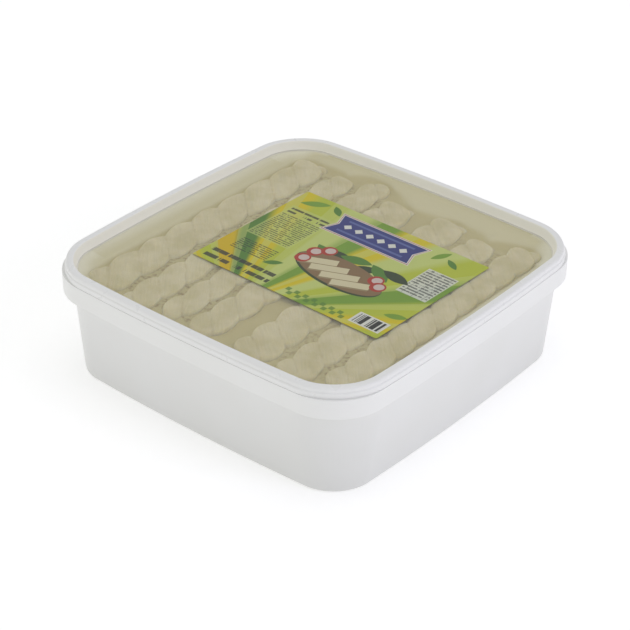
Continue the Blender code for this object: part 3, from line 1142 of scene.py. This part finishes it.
@dataclass(frozen=True)
class Label:
    """The printed label, stuck a little askew on the sunk panel."""

    panel_top: float
    turn: float = math.radians(-1.0)
    thickness: float = 0.08 * MM
    corner: float = 1.2 * MM
    corner_steps: int = 6

    @property
    def centre(self) -> Vector:
        """Return the middle of the label's upper face."""
        low, high = node_box("label")
        return Vector(((low.x + high.x) / 2, (low.y + high.y) / 2, self.panel_top + self.thickness))

    @property
    def size(self) -> tuple[float, float]:
        """Work out the label's own size from the box that holds it turned.

        Returns:
            Width and depth.
        """
        low, high = node_box("label")
        spread, rise = high.x - low.x, high.y - low.y
        cos, sin = math.cos(self.turn), abs(math.sin(self.turn))
        width = (spread * cos - rise * sin) / (cos * cos - sin * sin)
        return width, (rise - width * sin) / cos

    def prints(self) -> tuple[Print, ...]:
        """Return every shape printed over the ground, the lowest first."""
        return (*self.leaves(), *self.panels(), *self.platter(), *self.ribbon(), *self.border())

    def leaves(self) -> list[Print]:
        """Return the scattered leaves."""
        spots = ((-62, 47, 11, 3.6, 28), (-44, 49, 7, 2.6, -40), (46, 48, 8, 2.8, 64),
                 (58, 44, 7, 2.4, -32), (71, -30, 8, 3.0, 20), (-31, -31, 7, 2.6, 35))
        return [Print(Shape.LEAF, Ink.LEAF if number % 2 else Ink.GREEN, *spot)
                for number, spot in enumerate(spots)]

    def panels(self) -> list[Print]:
        """Lay out the pale panels, with rules where small print would be.

        Returns:
            The shapes, the lowest first.
        """
        return [
            Print(Shape.BOX, Ink.PALE, -54, 12, 18.5, 24, 0, 0.6),
            Print(Shape.RULES, Ink.BLACK, -54, 31, 16.5, 4.6, 0, 0.85, (3.4, 4.6)),
            Print(Shape.RULES, Ink.BLACK, -54, 7, 17, 17.5, 0, 0.7, (1.7, 2.2)),
            Print(Shape.RULES, Ink.BLACK, -52, -26.5, 15.5, 7.7, 0, 0.75, (1.8, 2.2)),
            Print(Shape.RULES, Ink.BLACK, -45, -45, 28, 8, 0, 0.9, (2.6, 8.0)),
            Print(Shape.BOX, Ink.WHITE, 62, 13, 12, 17.5, 0, 0.85),
            Print(Shape.GRID, Ink.BLACK, 62, 13, 11.6, 17, 0, 0.5, (8.0, 3.0)),
            Print(Shape.RULES, Ink.BLACK, 62, 13, 11, 16.4, 0, 0.7, (1.9, 3.0)),
        ]

    def ribbon(self) -> list[Print]:
        """Lay out the plain ribbon, with a row of lozenges.

        Returns:
            The shapes, the lowest first.
        """
        return [
            Print(Shape.BANNER, Ink.WHITE, -1, 37, 38.0, 13.2),
            Print(Shape.BANNER, Ink.RED, -1, 37, 37.2, 12.6),
            Print(Shape.BANNER, Ink.WHITE, -1, 37, 36.6, 12.0),
            Print(Shape.BANNER, Ink.BLUE, -1, 37, 35.6, 11.2),
            Print(Shape.BOX, Ink.SKY, -1, 30.2, 28, 1.0, 0, 0.7),
            Print(Shape.BOX, Ink.SKY, -1, 43.8, 28, 1.0, 0, 0.7),
            Print(Shape.LOZENGES, Ink.WHITE, -1, 37, 28.5, 6.0, 0, 1.0, (9.5, 9.5)),
        ]

    def platter(self) -> list[Print]:
        """Lay out a wooden board of cheese bars on leaves, with cut radishes.

        Returns:
            The shapes, the lowest first.
        """
        made = []
        for step in range(6):
            made.append(Print(Shape.LEAF, Ink.DARK if step % 2 else Ink.LEAF, -14 + 11 * step,
                              1 + 3 * (step % 3), 12, 4.6, 20 * (step % 4) - 30))
        made.append(Print(Shape.DISC, Ink.DARK, 10, -13.8, 37, 16, -6))
        made.append(Print(Shape.DISC, Ink.WOOD, 10, -12.6, 36.4, 15, -6))
        for step in range(4):
            x, y = -10 + 11.5 * step, -9.5 - 3.2 * step
            made.append(Print(Shape.BOX, Ink.TAN, x, y - 1.3, 13, 3.9, 24))
            made.append(Print(Shape.BOX, Ink.CREAM, x, y, 13, 3.4, 24))
        for x, y in ((-20, -2), (-13, 4.5), (-21, -13), (34, -4.5), (40, -10)):
            made.append(Print(Shape.DISC, Ink.RED, x, y, 5.6, 5.6))
            made.append(Print(Shape.DISC, Ink.WHITE, x + 0.6, y + 0.5, 3.6, 3.6, 0, 0.7))
        return made

    def border(self) -> list[Print]:
        """Return the checked border and the patch of bars."""
        return [
            Print(Shape.CHECKS, Ink.LEAF, 22, -50.5, 25, 3.6, 0, 0.8, (3.6, 3.6)),
            Print(Shape.BOX, Ink.WHITE, 63, -46, 12, 6.6),
            Print(Shape.BARS, Ink.BLACK, 63, -46, 10.6, 5.4, 0, 1.0, (0.62, 1.0)),
        ]

    def finish(self) -> PrintedFilm:
        """Return the label's film."""
        return PrintedFilm(centre=tuple(self.centre), turn=self.turn, prints=self.prints())

    def build(self) -> bpy.types.Object:
        """Build and dress the label.

        Returns:
            The label.
        """
        width, depth = self.size
        deselect_all()
        bpy.ops.mesh.primitive_cube_add(size=1.0)
        label = bpy.context.object
        label.name = "printed_label"
        label.data.transform(Matrix.Diagonal((width, depth, self.thickness, 1.0)))
        bpy.ops.object.mode_set(mode="EDIT")
        bpy.ops.mesh.select_all(action="DESELECT")
        mesh = bmesh.from_edit_mesh(label.data)
        for edge in mesh.edges:
            if abs(edge.verts[0].co.z - edge.verts[1].co.z) > self.thickness / 2:
                edge.select = True
        bmesh.update_edit_mesh(label.data)
        bpy.ops.mesh.bevel(offset=self.corner, segments=self.corner_steps, affect="EDGES")
        bpy.ops.object.mode_set(mode="OBJECT")
        middle = self.centre - Vector((0.0, 0.0, self.thickness / 2))
        label.data.transform(Matrix.Translation(middle) @ Matrix.Rotation(self.turn, 4, "Z"))
        label.data.materials.append(self.finish().material())
        finish_piece(label, "label_film", "label")
        return label


@dataclass(frozen=True)
class Braid:
    """One braid: three strands twisted into a rope and pressed among its neighbours."""

    number: int
    width_front: float
    width_back: float
    lean: float            # of the axis in X, from front to back
    pitch: float           # from one strand to the next, along the top
    lobe_y: float          # where a strand stands out on the left
    end_lean: float = 0.0  # how far the back end curls in X
    end_length: float = 15 * MM

    HEIGHT = 25 * MM
    STRANDS = 3
    SPREAD = 0.48          # strand centre from the axis, in strand radii
    SQUARENESS = 4.2       # exponent of the pressed section, 2 is an ellipse
    PRESSED = 4.8 * MM     # how much taller the braid would be without the lid
    PRESS_SOFTNESS = 0.9 * MM
    SWELL = 0.80           # how far the strands stand out, 1 is round strands
    CREASE = 0.055         # width of the dark crease, in strand radii
    CREASE_DROP = 0.18 * MM
    CURL_FROM = 0.9        # share of the length from which the back end curls
    END_ROUNDNESS = 2.3    # exponent of an end's outline in plan, 2 is an ellipse
    WANDER = (45 * MM, 0.20)  # length and size, in radians, of the twist's unevenness
    UNEVEN = (17 * MM, 0.07)  # length and size, in strand radii, of a strand's unevenness
    CROWD = 0.30           # how far the mesh's rows crowd towards the top
    LUMPS = ((9 * MM, 0.45 * MM), (3.2 * MM, 0.26 * MM))  # width and rise of the face's unevenness
    AROUND = 96
    ALONG = 260

    @property
    def node(self) -> str:
        """Return the name of the CAD node."""
        return f"braid_{self.number}"

    def centre_x(self, share: float) -> float:
        """Follow the braid's axis.

        Args:
            share: 0 to 1 from the front end to the back end.

        Returns:
            The axis's place in X.
        """
        low, high = node_box(self.node)
        if self.lean > 0:
            front, back = low.x + self.width_front / 2, high.x - self.width_back / 2
        else:
            front, back = high.x - self.width_front / 2, low.x + self.width_back / 2
        curl = self.end_lean * max(0.0, share - self.CURL_FROM) ** 2 * 100
        return mix(front, back, share) + curl

    def half_width(self, share: float) -> float:
        """Return half the braid's width, share of the way to the back."""
        return mix(self.width_front, self.width_back, share) / 2

    def taper(self, y: float) -> float:
        """Work out how far an end narrows the braid.

        Args:
            y: place along the tub.

        Returns:
            0 at the very end, up to 1 away from the ends.
        """
        low, high = node_box(self.node)
        near = min(max(min(y - low.y, high.y - y) / self.end_length, 0.0), 1.0)
        return (1 - (1 - near) ** self.END_ROUNDNESS) ** (1 / self.END_ROUNDNESS)

    def twist(self, y: float) -> float:
        """Work out how far the strands have wound.

        Args:
            y: place along the tub.

        Returns:
            The angle of the first strand, in radians.
        """
        length, size = self.WANDER
        wander = size * noise.noise(Vector((self.number * 7.3, y / length, 0.0)))
        return math.pi + 2 * math.pi * (y - self.lobe_y) / (self.pitch * self.STRANDS) + wander

    def strand_reaches(self, angle: float, y: float) -> list[float]:
        """Work out how far out each strand's face lies.

        Args:
            angle: direction from the axis, in radians.
            y: place along the tub.

        Returns:
            The three reaches, largest first, as shares of the largest that there can be.
        """
        length, size = self.UNEVEN
        reaches = []
        for strand in range(self.STRANDS):
            offset = angle - self.twist(y) - strand * 2 * math.pi / self.STRANDS
            swell = noise.noise(Vector((self.number * 5.1 + strand * 9.7, y / length, 3.0)))
            radius = 1 + size * swell
            inside = radius ** 2 - (self.SPREAD * math.sin(offset)) ** 2
            reaches.append((self.SPREAD * math.cos(offset) + math.sqrt(inside)) / (1 + self.SPREAD))
        return sorted(reaches, reverse=True)

    def face(self, around: float, share: float, limit_z: float) -> tuple[Point, float]:
        """Return a point of the braid's face and how deep in a crease it lies.

        Args:
            around: 0 to 1, from the underside up the right-hand side and over.
            share: 0 to 1 from the front end to the back end.
            limit_z: height that the lid's panel presses the face down to.

        Returns:
            The point, and 1 in a crease down to 0 away from it.
        """
        low, high = node_box(self.node)
        y = mix(low.y, high.y, share)
        crowd = self.CROWD / (2 * math.pi) * math.sin(2 * math.pi * around)
        angle = -math.pi / 2 + 2 * math.pi * (around + crowd)
        first, second, _ = self.strand_reaches(angle, y)
        crease = math.exp(-((first - second) / self.CREASE) ** 2)
        pressed = (abs(math.cos(angle)) ** self.SQUARENESS
                   + abs(math.sin(angle)) ** self.SQUARENESS) ** (-1 / self.SQUARENESS)
        reach = mix(1.0, first, self.SWELL) * pressed * self.taper(y)
        x = self.centre_x(share) + self.half_width(share) * reach * math.cos(angle)
        middle_z = high.z - self.HEIGHT / 2
        z = middle_z + (self.HEIGHT / 2 + self.PRESSED * (angle > 0)) * reach * math.sin(angle)
        spot = Vector((x, y, z))
        lump = sum(noise.noise(spot / width) * rise for width, rise in self.LUMPS)
        x += lump * math.cos(angle)
        z += lump * math.sin(angle) - self.CREASE_DROP * crease * max(math.sin(angle), 0.0)
        z = limit_z - self.PRESS_SOFTNESS * math.log1p(math.exp((limit_z - z) / self.PRESS_SOFTNESS))
        return (x, y, z), crease

    def build(self, material: bpy.types.Material, limit_z: float) -> bpy.types.Object:
        """Build and dress the braid from a sheet rolled into a rope.

        Args:
            material: the cheese.
            limit_z: height of the panel that presses on the braid.

        Returns:
            The braid.
        """
        deselect_all()
        bpy.ops.mesh.primitive_grid_add(x_subdivisions=self.AROUND, y_subdivisions=self.ALONG, size=1.0,
                                        calc_uvs=True)
        braid = bpy.context.object
        braid.name = f"{self.node}_cheese"
        mesh = braid.data
        strand = mesh.uv_layers[0]
        strand.name = "strand"
        creases = mesh.attributes.new("crease", "FLOAT", "POINT")
        low, high = node_box(self.node)
        girth = math.pi * (self.half_width(0.5) + self.HEIGHT / 2)
        for vertex in mesh.vertices:
            around, share = vertex.co.x + 0.5, vertex.co.y + 0.5
            vertex.co, creases.data[vertex.index].value = self.face(around, share, limit_z)
        for corner in strand.uv:
            around, share = corner.vector
            y = mix(low.y, high.y, share)
            corner.vector = (girth * (around - self.twist(y) / (2 * math.pi)), y)
        bpy.ops.object.mode_set(mode="EDIT")
        bpy.ops.mesh.select_all(action="SELECT")
        bpy.ops.mesh.remove_doubles(threshold=0.002 * MM)
        bpy.ops.mesh.normals_make_consistent(inside=False)
        bpy.ops.object.mode_set(mode="OBJECT")
        mesh.materials.append(material)
        finish_piece(braid, "cheese", self.node, angle=75.0)
        return braid


@dataclass(frozen=True)
class Brine:
    """The cloudy brine, as the level below which nothing shows."""

    tub: Tub
    braids: tuple[Braid, ...]
    narrow: float = 1.9 * MM     # below the lid's panel, where two braids touch
    deep: float = 2.9 * MM       # below the panel, in a wide gap
    shallow: float = 0.6 * MM    # below the panel, where no braid is near
    touch: float = 0.08 * MM     # below the panel, round its edge
    rise: tuple[float, float] = (6 * MM, 12 * MM)  # from the wall, where the brine falls away
    wide_gap: float = 8 * MM
    seam: tuple[float, float] = (0.5 * MM, 5 * MM)  # gap between braids up to which the brine gets painted shade and specks
    open_gap: tuple[float, float] = (12 * MM, 26 * MM)
    side_lit_fade: float = 18 * MM   # how far in the tub's side walls still show pale, further than at the ends as painted light
    end_fade: float = 7 * MM     # the same for the walls in front and behind
    into_wall: float = 0.15 * MM
    beside: tuple[float, float] = (-2 * MM, 3 * MM)  # from a braid, where the level falls away
    corner: float = 20 * MM      # width over which a side's fade turns into an end's
    body: float = 12 * MM        # from the deepest level down to the closed underside
    foot_scale: float = 0.985    # draws the underside in, clear of the tapered wall
    cells: int = 180

    @property
    def panel_bottom(self) -> float:
        """Return the height of the lid panel's underside."""
        return node_box("lid")[0].z

    def from_braids(self, x: float, y: float) -> tuple[float, float]:
        """Measure how far a place is from the nearest two braids, in plan.

        Args:
            x: place across the tub.
            y: place along the tub.

        Returns:
            The two distances, nearest first; one is negative over its braid.
        """
        distances = []
        for braid in self.braids:
            low, high = node_box(braid.node)
            share = min(max((y - low.y) / (high.y - low.y), 0.0), 1.0)
            half = braid.half_width(share)
            beyond = max(y - (high.y - half), (low.y + half) - y, 0.0)
            distances.append(math.hypot(x - braid.centre_x(share), beyond) - half)
        first, second, *_ = sorted(distances)
        return first, second

    def from_wall(self, x: float, y: float) -> float:
        """Measure how far a place is from the tub's wall, in plan, at the lid's panel.

        Args:
            x: place across the tub.
            y: place along the tub.

        Returns:
            The distance.
        """
        wall = self.tub.inner(self.panel_bottom)
        x, y = abs(x), abs(y)
        corner = wall.half - wall.radius
        if min(x, y) > corner:
            return wall.radius - math.hypot(x - corner, y - corner)
        return wall.half + wall.bow - max(x, y)

    def level(self, x: float, y: float) -> float:
        """Work out the height at which the brine hides what is under it.

        Args:
            x: place across the tub.
            y: place along the tub.

        Returns:
            The height.
        """
        first, second = self.from_braids(x, y)
        between = mix(self.narrow, self.deep, smooth_step(0.0, self.wide_gap, first + second))
        beside = smooth_step(*self.beside, first)
        depth = mix(between, self.shallow, beside * smooth_step(*self.open_gap, first + second))
        return self.panel_bottom - mix(self.touch, depth, smooth_step(*self.rise, self.from_wall(x, y)))

    def wall_show_and_painted_light(self, x: float, y: float) -> float:
        """Return how much of the tub's white wall shows through the brine, 1 at the wall, with painted light
        reaching further in by the side walls.
        """
        fade = mix(self.end_fade, self.side_lit_fade, smooth_step(-self.corner, 0.0, abs(x) - abs(y)))
        return 1 - smooth_step(0.0, fade, self.from_wall(x, y))

    def build(self, finish: CloudyBrine) -> bpy.types.Object:
        """Build and dress the brine from a grid fitted to the tub's inside.

        Args:
            finish: finish of the brine.

        Returns:
            The brine.
        """
        deselect_all()
        bpy.ops.mesh.primitive_grid_add(x_subdivisions=self.cells, y_subdivisions=self.cells, size=2.0)
        brine = bpy.context.object
        brine.name = "brine_body"
        top = self.tub.inner(self.panel_bottom).inset(-self.into_wall)
        pale = brine.data.attributes.new("pale", "FLOAT", "POINT")
        seam = brine.data.attributes.new("seam", "FLOAT", "POINT")
        for vertex in brine.data.vertices:
            x, y = self.fitted(vertex.co.x, vertex.co.y, top)
            vertex.co = (x, y, self.level(x, y))
            pale.data[vertex.index].value = self.wall_show_and_painted_light(x, y)
            seam.data[vertex.index].value = 1 - smooth_step(*self.seam, sum(self.from_braids(x, y)))
        self.close_below(brine)
        brine.data.materials.append(finish.material())
        finish_piece(brine, "brine", "brine", angle=60.0)
        return brine

    def fitted(self, u: float, v: float, edge: Outline) -> tuple[float, float]:
        """Map a point of the square from -1 to 1 into a bulging rounded square.

        Args:
            u: place across, -1 to 1.
            v: place along, -1 to 1.
            edge: the outline that the square's edge goes to.

        Returns:
            X and Y.
        """
        x, y = u * edge.half, v * edge.half
        inner = edge.half - edge.radius
        over_x, over_y = abs(x) - inner, abs(y) - inner
        if over_x > 0 and over_y > 0:
            square = max(over_x, over_y)
            scale = square / math.hypot(over_x, over_y)
            x = math.copysign(inner + over_x * scale, x)
            y = math.copysign(inner + over_y * scale, y)
        return edge.bowed(x, y), edge.bowed(y, x)

    def close_below(self, brine: bpy.types.Object) -> None:
        """Extrude the brine's edge down inside the wall and close it underneath.

        Args:
            brine: the brine's upper face.
        """
        bpy.ops.object.mode_set(mode="EDIT")
        bpy.ops.mesh.select_all(action="SELECT")
        bpy.ops.mesh.region_to_loop()
        bpy.ops.mesh.extrude_region_move()
        mesh = bmesh.from_edit_mesh(brine.data)
        foot = self.panel_bottom - self.deep - self.body
        for vert in mesh.verts:
            if vert.select:
                vert.co.x *= self.foot_scale
                vert.co.y *= self.foot_scale
                vert.co.z = foot
        bmesh.update_edit_mesh(brine.data)
        bpy.ops.mesh.edge_face_add()
        bpy.ops.mesh.select_all(action="SELECT")
        bpy.ops.mesh.normals_make_consistent(inside=False)
        bpy.ops.object.mode_set(mode="OBJECT")


class Softbox(Enum):
    """The studio's lights: place, size, power and colour of each."""

    KEY = ((2.6, 0.5, 1.3), 1.6, 14.0, "#E2DFFF")
    TOP = ((0.1, 0.3, 2.8), 2.4, 8.0, "#FFFFFF")
    FILL = ((-2.0, -1.6, 1.2), 1.4, 5.0, "#FFFCF0")


@dataclass(frozen=True)
class Studio:
    """Lit table, soft lights, even surroundings and the camera."""

    azimuth: float = math.radians(39.99)
    elevation: float = math.radians(31.77)
    roll: float = math.radians(0.39)
    distance: float = 1.3087
    target: Point = (-0.0003, -0.0010, 0.0324)
    lens: float = 112.73
    sensor: float = 36.0
    floor_radius: float = 6.0
    floor_corners: int = 96
    floor_gap: float = 0.02 * MM
    surround: str = "#F2F3F4"
    surround_strength: float = 0.7

    def floor(self) -> None:
        """Add the lit table that the tub stands on."""
        deselect_all()
        bpy.ops.mesh.primitive_circle_add(vertices=self.floor_corners, radius=self.floor_radius,
                                          fill_type="NGON",
                                          location=(0.0, 0.0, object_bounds()[0].z - self.floor_gap))
        floor = bpy.context.object
        floor.name = "floor"
        bpy.ops.object.transform_apply(location=True)
        floor.data.materials.append(LitTable().material())
        floor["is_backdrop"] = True

    def lights(self) -> None:
        """Add the softboxes, each aimed at the tub, and the surroundings."""
        for softbox in Softbox:
            place, size, power, colour = softbox.value
            lamp = bpy.data.lights.new(softbox.name.lower(), "AREA")
            lamp.shape = "DISK"
            lamp.size = size
            lamp.energy = power
            lamp.color = linear(colour)[:3]
            holder = bpy.data.objects.new(softbox.name.lower(), lamp)
            bpy.context.scene.collection.objects.link(holder)
            holder.location = place
            holder.rotation_euler = (-Vector(place)).to_track_quat("-Z", "Y").to_euler()
        world = bpy.data.worlds.new("surroundings")
        world.use_nodes = True
        sky = world.node_tree.nodes["Background"]
        sky.inputs["Color"].default_value = linear(self.surround)
        sky.inputs["Strength"].default_value = self.surround_strength
        bpy.context.scene.world = world

    def camera(self) -> None:
        """Add the camera and aim it at the tub."""
        lens = bpy.data.cameras.new("camera")
        lens.lens, lens.sensor_width = self.lens, self.sensor
        camera = bpy.data.objects.new("camera", lens)
        bpy.context.scene.collection.objects.link(camera)
        level = math.cos(self.elevation)
        back = Vector((math.sin(self.azimuth) * level, -math.cos(self.azimuth) * level,
                       math.sin(self.elevation)))
        right = Vector((math.cos(self.azimuth), math.sin(self.azimuth), 0.0))
        turn = Matrix((right, back.cross(right), back)).transposed() @ Matrix.Rotation(self.roll, 3, "Z")
        camera.matrix_world = (Matrix.Translation(Vector(self.target) + back * self.distance)
                               @ turn.to_4x4())
        bpy.context.scene.camera = camera

    def build(self) -> None:
        """Build the whole set."""
        self.floor()
        self.lights()
        self.camera()
        bpy.context.scene.view_settings.view_transform = "Standard"


BRAIDS = (
    Braid(1, 33.7 * MM, 31.5 * MM, -2.6 * MM, 26.4 * MM, 8.0 * MM, end_lean=-2 * MM),
    Braid(2, 28.5 * MM, 24.5 * MM, -4.3 * MM, 25.0 * MM, -60.0 * MM, end_length=11 * MM),
    Braid(3, 25.0 * MM, 23.5 * MM, -6.7 * MM, 25.0 * MM, -67.0 * MM, end_lean=-4 * MM, end_length=24 * MM),
    Braid(4, 25.8 * MM, 33.0 * MM, -3.9 * MM, 25.0 * MM, -70.0 * MM),
    Braid(5, 33.5 * MM, 31.5 * MM, -3.9 * MM, 23.0 * MM, -77.0 * MM),
    Braid(6, 29.0 * MM, 27.0 * MM, -6.0 * MM, 22.5 * MM, -79.0 * MM, end_length=12 * MM),
    Braid(7, 26.0 * MM, 26.0 * MM, -6.1 * MM, 21.5 * MM, -88.0 * MM),
)


STEEPED = 9 * MM        # below the lid's panel, where the cheese and the wall are lost in brine
CHEESE_PALE = 1.5 * MM  # below the panel, up to where the cheese keeps its own colour
BRINE_FADE = (1 * MM, 3.0 * MM)  # below the panel, from the palest brine to the deepest
PRESS_GAP = 0.2 * MM    # between the panel and the braids that it presses on


def main() -> None:
    """Build every piece of the shut tub, then the studio round it."""
    logging.basicConfig(level=logging.INFO, format="%(name)s: %(message)s")
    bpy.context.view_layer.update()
    tub = Tub()
    lid = Lid(tub)
    panel_bottom = node_box("lid")[0].z
    brine = Brine(tub, BRAIDS)

    tub.build(MouldedPolypropylene(tub.collar_bottom),
              WettedPolypropylene(dry_z=panel_bottom, lost_z=panel_bottom - STEEPED))
    cheese = PulledCurd(top_z=panel_bottom - CHEESE_PALE, brine_z=panel_bottom - STEEPED).material()
    for braid in BRAIDS:
        braid.build(cheese, panel_bottom - PRESS_GAP)
    brine.build(CloudyBrine(high_z=panel_bottom - BRINE_FADE[0], low_z=panel_bottom - BRINE_FADE[1]))
    lid.build()
    Label(lid.panel_top).build()
    Studio().build()


if __name__ == "__main__":
    main()
